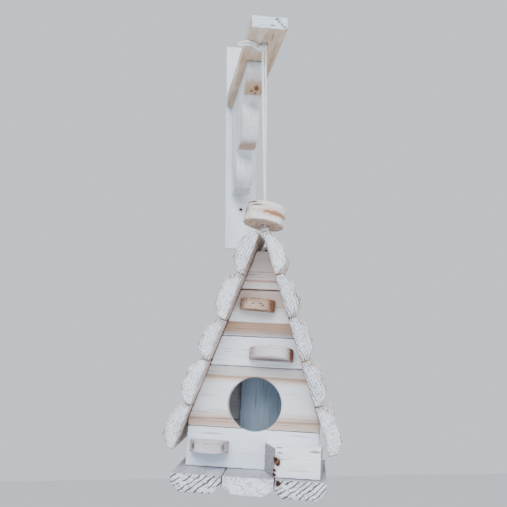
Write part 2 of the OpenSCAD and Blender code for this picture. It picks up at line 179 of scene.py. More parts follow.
def laid_cord(name, points, diameter=CORD, step=0.0006, turn=0.009, phase=0.0, given=False):
    """A three-ply cord along points: each ply is a tube wound round the cord's line."""
    line, length = (points, 0.0) if given else smooth_line(points, step)
    sides = 8
    ply_radius = 0.268 * diameter
    wind = 0.5 * diameter - ply_radius
    verts, faces, marks = [], [], []
    ahead = (line[1] - line[0]).normalized()
    aside = ahead.orthogonal().normalized()
    turned = phase
    for strand in range(3):
        base = len(verts)
        side = aside.copy()
        walked = 0.0
        for i, p in enumerate(line):
            ahead = (line[min(i + 1, len(line) - 1)] - line[max(i - 1, 0)]).normalized()
            side = (side - side.dot(ahead) * ahead).normalized()
            other = ahead.cross(side)
            walked += (p - line[i - 1]).length if i else 0.0
            angle = turned + strand * math.tau / 3 + walked / turn * math.tau
            centre = p + wind * (math.cos(angle) * side + math.sin(angle) * other)
            for k in range(sides):
                a = k * math.tau / sides
                verts.append(centre + ply_radius * (math.cos(a) * side + math.sin(a) * other))
                marks.append((walked / 0.0012, k / sides, strand))
            if i:
                ring = base + i * sides
                faces += [(ring + (k + 1) % sides, ring + k, ring - sides + k,
                           ring - sides + (k + 1) % sides) for k in range(sides)]
        faces.append(tuple(base + k for k in range(sides)))
        faces.append(tuple(base + (len(line) - 1) * sides + k for k in reversed(range(sides))))
    mesh = bpy.data.meshes.new(name)
    mesh.from_pydata(verts, [], faces)
    mesh.update()
    mesh.attributes.new("ply", "FLOAT_VECTOR", "POINT").data.foreach_set("vector", np.ravel(marks))
    piece = bpy.data.objects.new(name, mesh)
    bpy.context.collection.objects.link(piece)
    bpy.ops.object.select_all(action="DESELECT")
    piece.select_set(True)
    bpy.context.view_layer.objects.active = piece
    bpy.ops.object.mode_set(mode="EDIT")
    bpy.ops.mesh.select_all(action="SELECT")
    bpy.ops.mesh.normals_make_consistent(inside=False)
    bpy.ops.object.mode_set(mode="OBJECT")
    bpy.ops.object.shade_smooth()
    piece.data.materials.append(cotton)
    return piece, line, length


# The two strands: they part below the knot under the arm and close up side by side above the
# disc. Each point is an offset from the cord's middle and a drop below the pivot, in
# millimetres.
STRAND_ROUTE = [
    (1.9, 0, 3), (1.9, 0.2, 18), (1.9, 0.4, 33), (1.8, 0.6, 48), (1.7, 0.8, 63),
    (1.6, 0.9, 78), (1.5, 1.0, 93), (1.4, 1.1, 108), (1.2, 1.2, 123), (1.1, 1.3, 138),
    (0.9, 1.4, 153), (0.7, 1.5, 168), (0.5, 1.5, 183), (0.3, 1.6, 198), (0.2, 1.6, 226)]
for number, side in ((1, 1), (2, -1)):
    low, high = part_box(f"cord_strand_{number}")
    stretch = (pivot.z - low.z) / (STRAND_ROUTE[-1][2] * MM)
    route = [pivot + Vector((side * x, side * y, -z * stretch)) * MM for x, y, z in STRAND_ROUTE]
    strand, line, length = laid_cord(f"cord_strand_{number}_laid", route, phase=1.1 * number)
    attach(strand, "cord")
    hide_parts(f"cord_strand_{number}")

# The bight: the doubled end that stands out of the knot under the arm. Offsets from the
# cord's middle and from the arm's underside, in millimetres.
BIGHT_ROUTE = [
    (-9.5, 0, -6.6), (-13, -4, -6.2), (-17, -7, -6), (-21, -8, -6), (-25, -7.4, -6.2),
    (-29, -6, -6.2), (-32, -4.6, -5.6), (-33.5, -4, -4.1), (-32, -4.8, -2.6), (-29, -6.2, -2.1),
    (-25, -7.8, -2.1), (-21, -8.6, -2.1), (-17, -7.6, -2.1), (-13, -4.6, -2.4), (-9.5, -0.8, -3)]
under_arm = Vector((pivot.x, pivot.y, arm_low.z))
route = [under_arm + Vector(p) * MM for p in BIGHT_ROUTE]
bight, line, length = laid_cord("cord_bight", route)
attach(bight, "bracket")
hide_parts("cord_loop")


# ---- Knots ----
# Each knot is the same cord wound round itself: a barrel of turns under the arm, a stopper
# on top of it, a pear-shaped one under the disc and one inside the ridge.

def wound(name, centre, axis, across, radius, turns, width, body, node, slant=0.12, tails=()):
    """A knot of cord turns of one radius round an axis, with its ends tucked in."""
    axis = Vector(axis).normalized()
    across = Vector(across).normalized()
    third = axis.cross(across)
    points = []
    steps = round(turns * 14)
    for i in range(steps + 1):
        share = i / steps
        angle = share * turns * math.tau
        swell = radius * (0.9 + 0.1 * math.sin(math.pi * share))
        tuck = min(1.0, 0.35 + 3.0 * min(share, 1 - share) * turns)
        lean = slant * width * math.cos(angle)
        points.append(Vector(centre) + axis * ((share - 0.5) * width + lean)
                      + swell * tuck * (math.cos(angle) * across + math.sin(angle) * third))
    knot, _, _ = laid_cord(name, points, step=0.0007)
    for k, tail in enumerate(tails):
        end = points[0] if k == 0 else points[-1]
        route = [end] + [end + Vector(step) * MM for step in tail]
        stub, _, _ = laid_cord(f"{name}_end_{k + 1}", route, step=0.0007)
        knot.select_set(True)
        stub.select_set(True)
        bpy.context.view_layer.objects.active = knot
        bpy.ops.object.join()
    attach(knot, body)
    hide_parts(node)
    return knot


low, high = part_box("arm_knot")
wound("knot_under_arm", (low + high) / 2, (1, 0, 0), (0, 0, 1), 0.5 * (high.z - low.z) - 1.4 * MM,
      3.6, high.x - low.x - 3.4 * MM, "bracket", "arm_knot")
low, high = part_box("arm_top_knot")
wound("knot_on_arm", (low + high) / 2, (0, 0, 1), (1, 0, 0), 0.5 * (high.x - low.x) - 1.5 * MM,
      2.3, high.z - low.z - 3.2 * MM, "bracket", "arm_top_knot",
      tails=([(4, 3, 1.5), (9, 4.5, 0.5)], [(-4, -3, 1.5), (-8, -6, 0.5)]))
low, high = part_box("disc_knot")
wound("knot_under_disc", (low + high) / 2, (0.15, 0.1, 1), (1, 0, 0),
      0.5 * (high.x - low.x) - 1.4 * MM, 2.7, high.z - low.z - 3.2 * MM, "cord", "disc_knot")
low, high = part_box("ridge_knot")
knot_middle = Vector(((low.x + high.x) / 2, (low.y + high.y) / 2, low.z + 5.4 * MM))
wound("knot_in_ridge", knot_middle, (0.1, 0.2, 1), (1, 0, 0), 3.8 * MM, 2.4, 6.4 * MM,
      "house", "ridge_knot", tails=([(-1, 1, -4), (-3, 2, -9)],))

# The short stretches that bend: two cords side by side through the arm, below its knot and
# into the ridge.
for name, node, body, gap, top, bottom in (
        ("cord_through_arm", "arm_cord", "bracket", 1.6, arm_high.z + 1 * MM, arm_low.z - 2 * MM),
        ("cord_at_pivot", "cord_neck", "neck", 1.9, arm_low.z - 7 * MM, pivot.z - 4 * MM),
        ("cord_into_ridge", "ridge_cord", "ridge_link", 1.35, ridge.z + 4 * MM,
         ridge.z - 4 * MM)):
    x, y = pivot.x, pivot.y
    pair = []
    for side in (-1, 1):
        lean = side * gap * MM
        route = [(x + lean, y, top), (x + lean, y, (top + bottom) / 2), (x + lean, y, bottom)]
        size = CORD if gap > 1.5 else 0.9 * CORD
        made, _, _ = laid_cord(f"{name}_{side + 2}", route, diameter=size, phase=side)
        pair.append(made)
    pair[0].select_set(True)
    bpy.context.view_layer.objects.active = pair[0]
    bpy.ops.object.join()
    pair[0].name = name
    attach(pair[0], body)
    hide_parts(node)

# ---- Timber: shared shader groups ----
# Every wooden piece carries its own coordinates in a grain attribute: x runs along its
# fibres, y across its face and z through it. Two more mark its sawn ends and worn edges.


def new_group(name, inputs, outputs):
    """A shader node group with its input and output sockets."""
    made = bpy.data.node_groups.new(name, "ShaderNodeTree")
    for socket, kind in inputs:
        made.interface.new_socket(socket, in_out="INPUT", socket_type=f"NodeSocket{kind}")
    for socket, kind in outputs:
        made.interface.new_socket(socket, in_out="OUTPUT", socket_type=f"NodeSocket{kind}")
    return made, made.nodes.new("NodeGroupInput").outputs, made.nodes.new("NodeGroupOutput").inputs


# Long grain: fine fibres, growth lines, thin dark streaks and soft clouds.
grain_group, given, result = new_group(
    "long_grain", [("Grain", "Vector"), ("Seed", "Float")],
    [("Fibre", "Float"), ("Lines", "Float"), ("Streaks", "Float"), ("Cloud", "Float")])
shift = add(grain_group, "ShaderNodeCombineXYZ", {
    0: calc(grain_group, "MULTIPLY", given[1], 1.7), 1: calc(grain_group, "MULTIPLY", given[1], 0.9),
    2: calc(grain_group, "MULTIPLY", given[1], 1.3)})
moved = add(grain_group, "ShaderNodeVectorMath", {0: given[0], 1: shift.outputs[0]}).outputs[0]


def stretched_noise(tree, vector, scale, detail=3.0, distortion=0.0):
    """Noise over a vector scaled unevenly."""
    sized = add(tree, "ShaderNodeVectorMath", {0: vector, 1: scale}, operation="MULTIPLY")
    made = add(tree, "ShaderNodeTexNoise", {"Vector": sized.outputs[0], "Scale": 1.0,
                                            "Detail": detail, "Distortion": distortion})
    return made.outputs[0]


fibre = stretched_noise(grain_group, moved, (45, 1500, 1500), 4.0)
lines = stretched_noise(grain_group, moved, (7, 210, 160), 2.0, 0.5)
streaks = stretched_noise(grain_group, moved, (16, 620, 500), 2.0, 0.3)
cloud = stretched_noise(grain_group, moved, (16, 55, 55), 4.0)
for k, value in enumerate((fibre, lines, streaks, cloud)):
    grain_group.links.new(value, result[k])

# Sawn ends: growth rings round a pith, open pores and the saw's scratches.
end_group, given, result = new_group(
    "end_grain", [("Grain", "Vector"), ("Seed", "Float"), ("Pith", "Vector"), ("Rings per m", "Float")],
    [("Rings", "Float"), ("Pits", "Float"), ("Saw", "Float")])
flat = add(end_group, "ShaderNodeVectorMath", {0: given[0], 1: (0, 1, 1)}, operation="MULTIPLY")
wobble = stretched_noise(end_group, given[0], (20, 100, 100), 3.0)
from_pith = add(end_group, "ShaderNodeVectorMath", {0: flat.outputs[0], 1: given[2]}, operation="SUBTRACT")
radius = add(end_group, "ShaderNodeVectorMath", {0: from_pith.outputs[0]}, operation="LENGTH")
radius = radius.outputs["Value"]
bent = calc(end_group, "ADD", radius, calc(end_group, "MULTIPLY", wobble, 0.006))
turns = calc(end_group, "MULTIPLY", calc(end_group, "MULTIPLY", bent, given[3]), 6.28318)
rings = calc(end_group, "MULTIPLY_ADD", calc(end_group, "SINE", turns), 0.5, 0.5)
seeded = add(end_group, "ShaderNodeCombineXYZ", {0: given[1], 1: given[1], 2: given[1]})
spot = add(end_group, "ShaderNodeVectorMath", {0: flat.outputs[0], 1: seeded.outputs[0]}).outputs[0]
broken = add(end_group, "ShaderNodeTexNoise", {"Vector": spot, "Scale": 100.0, "Detail": 3.0}).outputs[0]
rings = calc(end_group, "MULTIPLY", rings, fade(end_group, broken, 0.27, 0.47))
cells = add(end_group, "ShaderNodeTexVoronoi", {"Vector": spot, "Scale": 640.0}).outputs["Distance"]
which = add(end_group, "ShaderNodeTexNoise", {"Vector": spot, "Scale": 210.0, "Detail": 5.0}).outputs[0]
pits = calc(end_group, "MULTIPLY", fade(end_group, cells, 0.62, 0.2), fade(end_group, which, 0.37, 0.57))
slanted = add(end_group, "ShaderNodeMapping", {"Vector": spot, "Rotation": (0.7, 0, 0)})
saw = stretched_noise(end_group, slanted.outputs[0], (100, 90, 1400), 2.0)
for k, value in enumerate((rings, pits, saw)):
    end_group.links.new(value, result[k])

# Limewash: how much of the thin paint is left, which fibres, clouds and edges break.
wash_group, given, result = new_group(
    "limewash", [("Amount", "Float"), ("Fibre", "Float"), ("Cloud", "Float"), ("Edge", "Float"),
                 ("Softness", "Float")], [("Paint", "Float")])
left = calc(wash_group, "MULTIPLY_ADD", given[1], 0.5, given[0])
left = calc(wash_group, "MULTIPLY_ADD", given[2], 0.9, left)
left = calc(wash_group, "SUBTRACT", left, given[3])
low_end = calc(wash_group, "SUBTRACT", 1.0, given[4])
high_end = calc(wash_group, "ADD", 1.0, given[4])
spread = add(wash_group, "ShaderNodeMapRange", {0: left, 1: low_end, 2: high_end},
             interpolation_type="SMOOTHSTEP")
wash_group.links.new(spread.outputs[0], result[0])

# A round mark at a centre, such as a knot in the wood: 1 in its middle, 0 outside.
spot_group, given, result = new_group(
    "spot", [("Grain", "Vector"), ("Centre", "Vector"), ("Size", "Vector")],
    [("Spot", "Float"), ("Ring", "Float")])
off = add(spot_group, "ShaderNodeVectorMath", {0: given[0], 1: given[1]}, operation="SUBTRACT")
off = add(spot_group, "ShaderNodeVectorMath", {0: off.outputs[0], 1: given[2]}, operation="DIVIDE")
far = add(spot_group, "ShaderNodeVectorMath", {0: off.outputs[0]}, operation="LENGTH").outputs["Value"]
ragged = add(spot_group, "ShaderNodeTexNoise", {"Vector": given[0], "Scale": 300.0, "Detail": 3.0})
ragged = ragged.outputs[0]
far = calc(spot_group, "ADD", far, calc(spot_group, "MULTIPLY_ADD", ragged, 0.9, -0.45))
spot_group.links.new(fade(spot_group, far, 1.0, 0.55), result[0])
spot_group.links.new(calc(spot_group, "MULTIPLY", fade(spot_group, far, 1.6, 1.1),
                          fade(spot_group, far, 0.5, 0.95)), result[1])


def use(tree, group, inputs):
    """A copy of a shader group in a material."""
    return fill(tree, add(tree, "ShaderNodeGroup", node_tree=group), inputs)


def fill(tree, made, inputs):
    """Gives a node's inputs their values or links."""
    for name, value in inputs.items():
        if isinstance(value, bpy.types.NodeSocket):
            tree.links.new(value, made.inputs[name])
        else:
            made.inputs[name].default_value = value
    return made


def timber(name, wood, dark, paint, amount, end_paint="e9ebee", end_dark="6f625a", pith=(0, 0.01, -0.03),
           rings=210.0, ring_depth=0.35, pit_depth=0.8, softness=0.16, streak=0.5, bands=None, marks=(),
           end_amount=0.75, end_wood=None, wear=0.3, end_wear=0.5, end_from=0.55, bare_under=None):
    """Whitewashed timber: bare wood, thin paint that is worn off it, sawn ends and marks."""
    made, tree, shader = new_material(name)
    grain = add(tree, "ShaderNodeAttribute", attribute_name="grain").outputs["Vector"]
    extra = add(tree, "ShaderNodeAttribute", attribute_name="piece").outputs["Vector"]
    extra = add(tree, "ShaderNodeSeparateXYZ", {0: extra}).outputs
    seed, end, edge = extra[0], extra[1], extra[2]
    long = use(tree, grain_group, {"Grain": grain, "Seed": seed}).outputs
    cut = use(tree, end_group, {"Grain": grain, "Seed": seed, "Pith": (*pith,),
                                "Rings per m": rings}).outputs
    wash = use(tree, wash_group, {"Amount": amount, "Fibre": long["Fibre"], "Cloud": long["Cloud"],
                                  "Edge": calc(tree, "MULTIPLY", edge, wear),
                                  "Softness": softness}).outputs[0]
    bare = blend_colours(tree, fade(tree, long["Lines"], 0.35, 0.62), colour(wood), colour(dark))
    bare = blend_colours(tree, calc(tree, "MULTIPLY", fade(tree, long["Fibre"], 0.52, 0.7), 0.35),
                         bare, colour(dark))
    thick = ramp(tree, long["Cloud"], [(0.25, paint[0]), (0.5, paint[1]), (0.75, paint[2])])
    if bare_under is not None:
        depth = add(tree, "ShaderNodeSeparateXYZ", {0: grain}).outputs[2]
        inner = fade(tree, depth, bare_under, bare_under + 0.0015)
        wash = calc(tree, "MULTIPLY", wash, calc(tree, "MULTIPLY_ADD", inner, 0.5, 0.5))
    if bands:
        up = add(tree, "ShaderNodeAttribute", attribute_name="height").outputs["Fac"]
        wander = stretched_noise(tree, grain, (9, 60, 60), 3.0)
        up = calc(tree, "ADD", up, calc(tree, "MULTIPLY_ADD", wander, 0.005, -0.0025))
        band = ramp(tree, calc(tree, "DIVIDE", up, bands[0]), bands[1])
        share = ramp(tree, calc(tree, "DIVIDE", up, bands[0]), bands[2])
        thick = blend_colours(tree, 0.85, thick, band)
        bare = blend_colours(tree, 0.6, bare, band, "MULTIPLY")
        bare = blend_colours(tree, 0.4, bare, band)
        wash = calc(tree, "MULTIPLY", wash, share)
    side = blend_colours(tree, wash, bare, thick)
    thin_line = fade(tree, long["Streaks"], 0.63, 0.72)
    side = blend_colours(tree, calc(tree, "MULTIPLY", thin_line, streak), side, colour(dark), "MULTIPLY")
    end_colour = blend_colours(tree, fade(tree, cut["Rings"], 0.4, 0.8), colour(end_wood or wood),
                               colour(end_dark))
    end_wash = use(tree, wash_group, {"Amount": end_amount, "Fibre": cut["Saw"], "Cloud": long["Cloud"],
                                      "Edge": calc(tree, "MULTIPLY", edge, end_wear),
                                      "Softness": 0.22}).outputs[0]
    ringed = calc(tree, "MULTIPLY", fade(tree, cut["Rings"], 0.66, 0.93), ring_depth)
    rim = add(tree, "ShaderNodeAttribute", attribute_name="rim").outputs["Fac"]
    rim = calc(tree, "MULTIPLY", rim, fade(tree, long["Cloud"], 0.35, 0.6))
    ringed = calc(tree, "MULTIPLY_ADD", rim, end_wear, ringed)
    end_wash = calc(tree, "SUBTRACT", end_wash, ringed, clamp=True)
    end_side = blend_colours(tree, end_wash, end_colour, colour(end_paint))
    end_side = blend_colours(tree, calc(tree, "MULTIPLY", cut["Pits"], pit_depth), end_side,
                             colour(end_dark))
    is_end = fade(tree, end, end_from, end_from + 0.6 * (1 - end_from))
    final = blend_colours(tree, is_end, side, end_side)
    for centre, size, code, strength in marks:
        mark = use(tree, spot_group, {"Grain": grain, "Centre": (*centre,), "Size": (*size,)}).outputs
        around = calc(tree, "MULTIPLY", mark["Ring"], 0.3 * strength)
        final = blend_colours(tree, around, final, colour("a08268"))
        final = blend_colours(tree, calc(tree, "MULTIPLY", mark["Spot"], strength), final, colour(code))
    tree.links.new(final, shader.inputs["Base Color"])
    rough = calc(tree, "MULTIPLY_ADD", long["Cloud"], 0.2, 0.7)
    tree.links.new(rough, shader.inputs["Roughness"])
    shader.inputs["Specular IOR Level"].default_value = 0.3
    along = calc(tree, "ADD", calc(tree, "MULTIPLY", long["Fibre"], 0.5),
                 calc(tree, "MULTIPLY", long["Lines"], 0.5))
    along = calc(tree, "SUBTRACT", along, calc(tree, "MULTIPLY", thin_line, 0.5))
    sawn = calc(tree, "SUBTRACT", calc(tree, "MULTIPLY", cut["Saw"], 0.4), cut["Pits"])
    mix = add(tree, "ShaderNodeMix", {0: is_end, 2: along, 3: sawn}, data_type="FLOAT")
    bump = add(tree, "ShaderNodeBump", {"Height": mix.outputs[0], "Strength": 0.55, "Distance": 0.0006})
    tree.links.new(bump.outputs[0], shader.inputs["Normal"])
    return made


# ---- Timber: shaping ----
# Each piece starts as its plain solid. Its sawn edges are broken and rounded by wear, and its
# faces are a little uneven from the saw.


def house_frame():
    """The frame of the house as it hangs: nodding, leaning and turned on its cord."""
    axis = Vector(joints["house_nod"]["axis"])
    turn = math.atan2(axis.y, axis.x)
    hang = Vector((ridge.x, ridge.y, ridge.z - 1 * MM))
    nod, lean = math.radians(7.3), math.radians(3.3)
    return Matrix.Translation(hang) @ Euler((nod, lean, turn)).to_matrix().to_4x4()


def weathered(node, material, body, axes, seed, voxel=1.1, wave=0.45, rough=0.12, soften=3,
              name=None):
    """A worn copy of a CAD node. axes are its fibre, face and depth directions, row frame."""
    source = frame["nodes"][node]
    mesh = source.data.copy()
    piece = bpy.data.objects.new(name or f"{node}_worn", mesh)
    bpy.context.collection.objects.link(piece)
    bpy.ops.object.select_all(action="DESELECT")
    piece.select_set(True)
    bpy.context.view_layer.objects.active = piece
    bpy.ops.object.mode_set(mode="EDIT")
    bpy.ops.mesh.select_all(action="SELECT")
    bpy.ops.mesh.remove_doubles(threshold=0.00001)
    bpy.ops.mesh.normals_make_consistent(inside=False)
    bpy.ops.object.mode_set(mode="OBJECT")
    mesh.materials.clear()
    size = voxel * 1.0
    remesh = piece.modifiers.new("remesh", "REMESH")
    remesh.mode = "VOXEL"
    remesh.voxel_size = size * MM
    bpy.ops.object.modifier_apply(modifier="remesh")
    relax = piece.modifiers.new("relax", "SMOOTH")
    relax.factor = 0.5
    relax.iterations = soften
    bpy.ops.object.modifier_apply(modifier="relax")
    mesh = piece.data
    count = len(mesh.vertices)
    co = np.empty(count * 3)
    mesh.vertices.foreach_get("co", co)
    co = co.reshape(-1, 3)
    normal = np.empty(count * 3)
    mesh.vertices.foreach_get("normal", normal)
    normal = normal.reshape(-1, 3)
    basis = np.array([Vector(a).normalized() for a in axes])
    local = co @ basis.T
    local -= (local.min(0) + local.max(0)) / 2
    facing = np.abs(normal @ basis.T)
    # Edges: where a vertex stands above the mean of its neighbours.
    pairs = np.empty(len(mesh.edges) * 2, int)
    mesh.edges.foreach_get("vertices", pairs)
    pairs = pairs.reshape(-1, 2)
    both = np.concatenate([pairs, pairs[:, ::-1]])
    degree = np.bincount(both[:, 0], minlength=count)[:, None]

    def around(values):
        sums = np.stack([np.bincount(both[:, 0], weights=values[both[:, 1], k], minlength=count)
                         for k in range(values.shape[1])], axis=1)
        return sums / np.maximum(degree, 1)

    bend = ((co - around(co)) * normal).sum(1, keepdims=True) / (size * MM)
    for _ in range(2):
        bend = around(bend)
    edge = np.clip(bend[:, 0] * 7, 0, 1)
    for _ in range(9):
        bend = around(bend)
    rim = np.clip(bend[:, 0] * 22, 0, 1)
    # Uneven faces: slow waves, and a chipped look along the edges.
    push = np.empty(count)
    for i in range(count):
        p = Vector(local[i])
        slow = noise.noise(Vector((p.x * 14 + seed * 3.1, p.y * 45, p.z * 45)))
        fast = noise.noise(Vector((p.x * 120, p.y * 420 + seed, p.z * 420)))
        chip = noise.noise(Vector((p.x * 170 + seed, p.y * 170, p.z * 170)))
        push[i] = wave * (slow - 0.5) * 0.5 + rough * (fast - 0.5) - 0.5 * edge[i] * max(chip, 0.0)
    co += normal * push[:, None] * MM
    mesh.vertices.foreach_set("co", co.ravel())
    mesh.attributes.new("grain", "FLOAT_VECTOR", "POINT").data.foreach_set("vector", local.ravel())
    marks = np.stack([np.full(count, float(seed)), facing[:, 0], edge], axis=1)
    mesh.attributes.new("piece", "FLOAT_VECTOR", "POINT").data.foreach_set("vector", marks.ravel())
    mesh.attributes.new("rim", "FLOAT", "POINT").data.foreach_set("value", rim)
    mesh.update()
    bpy.ops.object.shade_smooth()
    mesh.materials.append(material)
    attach(piece, body)
    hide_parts(node)
    return piece


X, Y, Z = Vector((1, 0, 0)), Vector((0, 1, 0)), Vector((0, 0, 1))
house = house_frame()
house_turn = house.to_3x3()
HX, HY, HZ = (house_turn @ axis for axis in (X, Y, Z))

# ---- Back plate ----
# A planed pine board, painted thinly white so that its upright grain shows, screwed to the
# wall through two holes.

# The near-black spot in its marks is painted shade inside the lower screw hole.
plate_wood = timber("plate_wood", "c3b5a6", "a3917f", ("c3cad2", "d6dde6", "e3eaf3"), 0.82, softness=0.2,
                    streak=0.3, wear=0.05, end_wear=0.1,
                    marks=(((-0.103, 0.0, 0.0), (0.0032, 0.0032, 0.02), "161311", 1.0),))
weathered("back_plate", plate_wood, "bracket", (Z, X, Y), 1, voxel=1.3,
          wave=0.3, rough=0.06)

# ---- Arm ----
# A bare pine board, brown below with a few dark streaks. Its sawn front end is painted
# bluish white and has split.

SPLIT = [(-0.1185, 0.0085 + 0.0032 * k, 0.0045 - 0.0033 * k) for k in range(5)]
arm_wood = timber("arm_wood", "c6ab90", "a4876c", ("c0ae9d", "cbbbab", "d6c9bb"), 0.3,
                  end_paint="d3e2ee", end_dark="70797f", streak=0.45, pit_depth=0.3, pith=(0, 0.03, -0.3),
                  rings=260.0, ring_depth=0.3, wear=0.0, end_wear=0.1, marks=(
                      *((point, (0.006, 0.0021, 0.0021), "5b6670", 0.8) for point in SPLIT),
                      ((-0.1185, 0.0095, 0.0055), (0.006, 0.005, 0.0014), "566068", 0.7),
                      ((-0.1185, 0.0030, -0.0040), (0.006, 0.0045, 0.0014), "4d575e", 0.8),
                      ((-0.078, 0.0010, -0.009), (0.010, 0.0013, 0.004), "4a3c31", 0.9),
                      ((-0.099, 0.0070, -0.009), (0.012, 0.0011, 0.004), "6d5a49", 0.6)))
weathered("arm", arm_wood, "bracket", (Y, X, Z), 2, voxel=1.3, wave=0.3, rough=0.06)

# ---- Brace ----
# A scalloped bracket sawn from one board: painted on its rim, bare and tan on its sides.

brace_wood = timber("brace_wood", "b3a08f", "8f7b6b", ("c3c7cc", "d3d8de", "e2e8ef"), 0.62, softness=0.3,
                    streak=0.5, end_amount=0.7, end_paint="c6c3c9", end_wood="a5825f", end_dark="7c5c45",
                    end_from=0.8, wear=0.12, end_wear=0.0, ring_depth=0.1, marks=(
                        ((0.0420, 0.0, -0.060), (0.013, 0.030, 0.018), "b08d6c", 0.85),
                        ((-0.0250, 0.0, -0.006), (0.008, 0.030, 0.016), "a3866c", 0.8),
                        ((0.0400, 0.002, -0.062), (0.005, 0.004, 0.006), "5b3a24", 0.9),
                        ((0.0370, -0.004, -0.058), (0.004, 0.0025, 0.003), "5b3a24", 0.8),
                        ((0.0360, 0.002, -0.053), (0.004, 0.0022, 0.003), "5b3a24", 0.8)))
weathered("brace", brace_wood, "bracket", (Z, X, Y), 3, voxel=1.2, wave=0.4)

# ---- Disc ----
# A round cut from a plank with a hole saw: white bark-side bands, a brown diagonal band of
# heartwood and a brown underside.

disc_wood = timber("disc_wood", "b99a80", "94765c", ("cfc9c4", "dedad7", "ebe9e8"), 0.6,
                   softness=0.2, streak=0.45, end_paint="dedad7", end_dark="84654c",
                   ring_depth=0.1, pit_depth=0.3, end_amount=0.7, wear=0.2, end_wear=0.2, marks=(
                       ((0.0, 0.0, -0.0140), (0.12, 0.12, 0.0028), "a5825f", 1.0),
                       ((0.009, 0.0, -0.0012), (0.020, 0.30, 0.0034), "9d7250", 1.0),
                       ((-0.014, 0.0, 0.0060), (0.008, 0.20, 0.0013), "5a4c44", 0.9),
                       ((-0.019, 0.0, 0.0098), (0.007, 0.20, 0.0014), "4f433c", 0.9),
                       ((-0.024, -0.010, 0.0010), (0.002, 0.02, 0.0060), "877b72", 0.8)))
disc_tilt_degrees = 10
lay = math.radians(disc_tilt_degrees)
disc_axes = (Vector((math.cos(lay), 0, -math.sin(lay))), Y, Vector((math.sin(lay), 0, math.cos(lay))))
weathered("disc", disc_wood, "disc", disc_axes, 4, voxel=0.9, wave=0.6)

# ---- Base ----
# Three short planks side by side, running front to back. Their lower corners are planed off
# and their front ends are painted over rough end grain.

BASE_PAINT = ("8b8b95", "9c9da8", "b0b2be")
base_wood = timber("base_wood", "9d9190", "7b6f6c", BASE_PAINT, 0.66, end_paint="dde5f0", end_dark="5a5052",
                   pith=(0, -0.12, 0.15), rings=190.0, ring_depth=1.0, end_amount=0.8, end_wear=0.4)
base_right_wood = timber("base_right_wood", "9d9190", "7b6f6c", BASE_PAINT, 0.66, end_paint="dde5f0",
                         end_dark="5a5052", pith=(0, -0.12, 0.15), rings=210.0, ring_depth=1.0,
                         end_amount=0.8, end_wear=0.4, marks=(
                             ((-0.0614, -0.0235, 0.006), (0.008, 0.0038, 0.0040), "2e1a16", 1.0),))
base_middle_wood = timber("base_middle_wood", "9d9190", "7b6f6c", BASE_PAINT, 0.66, end_paint="e4eefb",
                          end_dark="7d7270", ring_depth=0.05, pit_depth=0.85, end_amount=0.86, end_wear=0.4)
for k, (part, wood) in enumerate((("left", base_wood), ("middle", base_middle_wood),
                                  ("right", base_right_wood))):
    weathered(f"base_plank_{part}", wood, "house", (HY, HX, HZ), 5 + 3 * k,
              wave=0.9, rough=0.2)

# ---- Side boards and back wall ----
# Thin boards, the sides upright and the back laid level, washed greyish white.

hidden_wood = timber("hidden_wood", "a3958b", "7f7067", ("a9a7a9", "bab9bc", "c9c9cd"), 0.5,
                     softness=0.25)
for k, part in enumerate(("left", "right")):
    weathered(f"side_board_{part}", hidden_wood, "house", (HZ, HY, HX), 20 + k, voxel=1.5)
for k in range(1, 6):
    weathered(f"back_board_{k}", hidden_wood, "house", (HX, HZ, HY), 30 + k, voxel=1.5)

# ---- Inner batten ----
# One upright board of blue-grey stained pine, nailed inside the back wall.

batten_wood = timber("batten_wood", "8b9bab", "566370", ("8b9dae", "9bafc2", "adc1d4"), 0.6,
                     softness=0.3, streak=0.7, wear=0.1)
weathered("inner_batten", batten_wood, "house", (HZ, HX, HY), 40, voxel=1.3)

# ---- Front wall ----
# Five pine boards laid level. The paint lies thick on some and is rubbed through to brown
# and grey stripes on others.

rake = math.radians(-5.2)
rake_turn = house_turn @ Euler((rake, 0, 0)).to_matrix()
RX, RY, RZ = (rake_turn @ axis for axis in (X, Y, Z))
BAND_COLOURS = [
    (0.0, "dde9f7"), (0.155, "e2ecf9"), (0.168, "d8cac1"), (0.190, "cdbbae"), (0.197, "8f7566"),
    (0.203, "d8cbc3"), (0.240, "dfe4eb"), (0.340, "e0e8f2"), (0.366, "d9c6b7"), (0.374, "a98a74"),
    (0.382, "d2d0d2"), (0.418, "c7cbd3"), (0.424, "e6eff9"), (0.545, "e1e9f3"), (0.556, "adafb8"),
    (0.575, "c0a795"), (0.600, "c3a288"), (0.607, "94725b"), (0.613, "eef3f9"), (0.650, "e9edf3"),
    (0.690, "dfd0c8"), (0.742, "e4dbd7"), (0.752, "ab9388"), (0.758, "efeff2"), (0.783, "eae8ea"),
    (0.789, "b98a68"), (0.796, "e6dedd"), (0.850, "ddd3d4"), (1.0, "d2c8c8")]
BAND_SHARES = [
    (0.0, "ffffff"), (0.160, "ffffff"), (0.170, "777777"), (0.192, "888888"), (0.197, "333333"),
    (0.203, "888888"), (0.240, "f0f0f0"), (0.350, "f0f0f0"), (0.366, "888888"), (0.374, "333333"),
    (0.382, "bbbbbb"), (0.418, "bbbbbb"), (0.426, "ffffff"), (0.545, "ffffff"), (0.556, "777777"),
    (0.600, "555555"), (0.607, "222222"), (0.614, "f4f4f4"), (0.650, "eeeeee"), (0.700, "999999"),
    (0.745, "aaaaaa"), (0.752, "444444"), (0.758, "eeeeee"), (0.783, "dddddd"), (0.789, "444444"),
    (0.796, "cccccc"), (1.0, "bbbbbb")]
wall_height = 0.2658
front_wood = timber("front_wood", "cbb4a1", "a98c76", ("dbe3ee", "e7eef8", "f2f6fc"), 0.8,
                    softness=0.22, streak=0.6, wear=0.1, end_wear=0.1,
                    bands=(wall_height, BAND_COLOURS, BAND_SHARES))
front_foot = house @ Vector((0, -0.0466, -0.2647))
